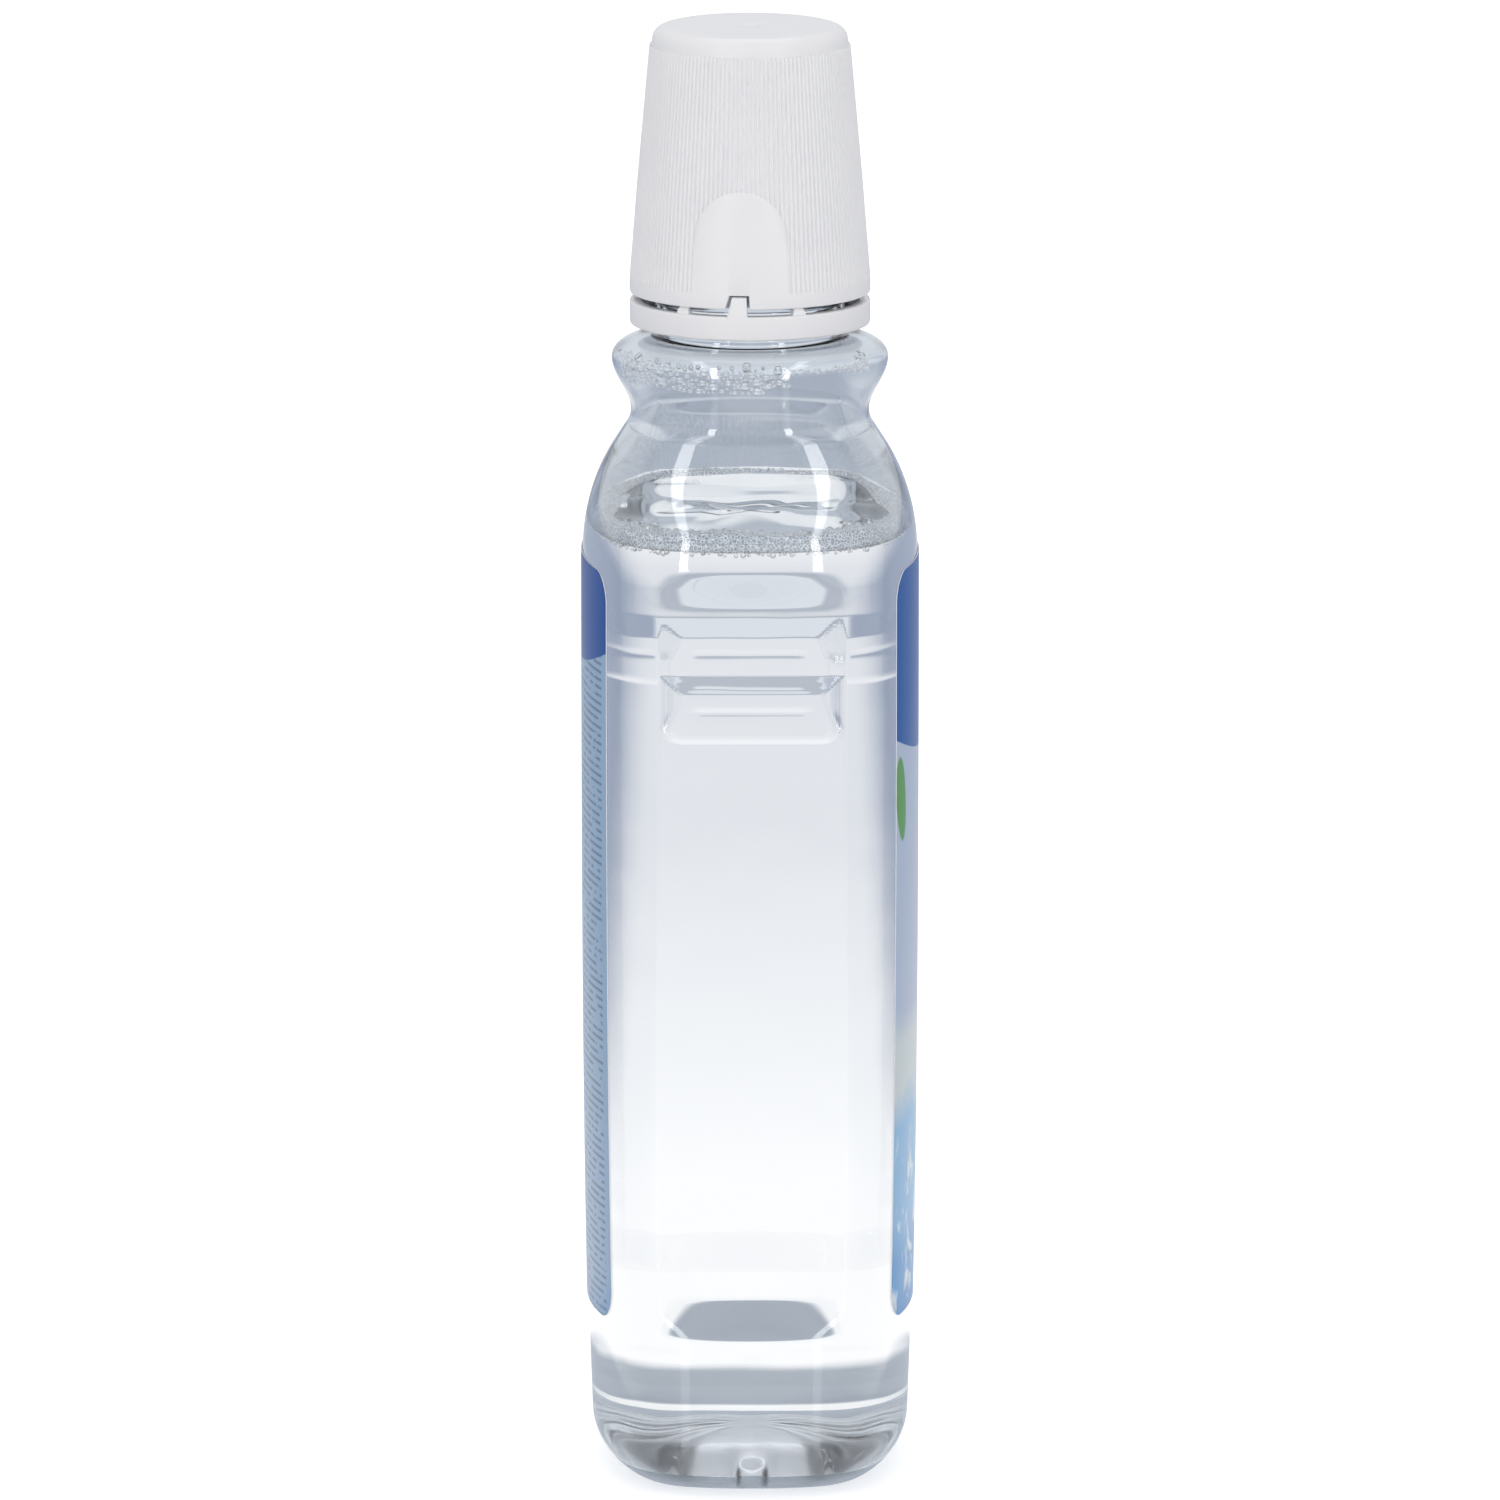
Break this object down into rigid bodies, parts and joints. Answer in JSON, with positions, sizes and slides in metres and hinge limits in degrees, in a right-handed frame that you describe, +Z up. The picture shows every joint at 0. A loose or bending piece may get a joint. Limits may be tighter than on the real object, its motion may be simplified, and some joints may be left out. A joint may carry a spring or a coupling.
{
  "type": "mouthwash bottle",
  "caption": "Clear flat-sided mouthwash bottle with a ribbed white dosing cap that turns and lifts off its neck, a tamper band, front and back labels, and clear liquid with froth.",
  "frame": {"origin": "centre of the base, on the plane that the bottle stands on", "axes": "+Z up towards the cap, X across the wide faces from one narrow side to the other, and the front label faces -Y"},
  "size_m": [0.0774, 0.055, 0.2364],
  "materials": {
    "clear_pet": "gloss",
    "white_pp": "satin",
    "front_film": "satin",
    "back_film": "satin",
    "liquid": "gloss",
    "froth": "gloss"
  },
  "bodies": {
    "bottle": {"bottle": "clear_pet", "front_label": "front_film", "back_label": "back_film", "mouthwash": "liquid", "surface_froth": "froth", "collar_froth": "froth"},
    "band": {"tamper_band": "white_pp"},
    "cap": {"dosing_cap": "white_pp"}
  },
  "joints": [
    {"name": "cap_turn", "type": "hinge", "parent": "bottle", "child": "band", "pos_m": [0, 0, 0.1896], "axis": [0, 0, 1], "range_deg": [0, 540]},
    {"name": "cap_lift", "type": "slide", "parent": "band", "child": "cap", "axis": [0, 0, 1], "range_m": [0, 0.06]}
  ]
}
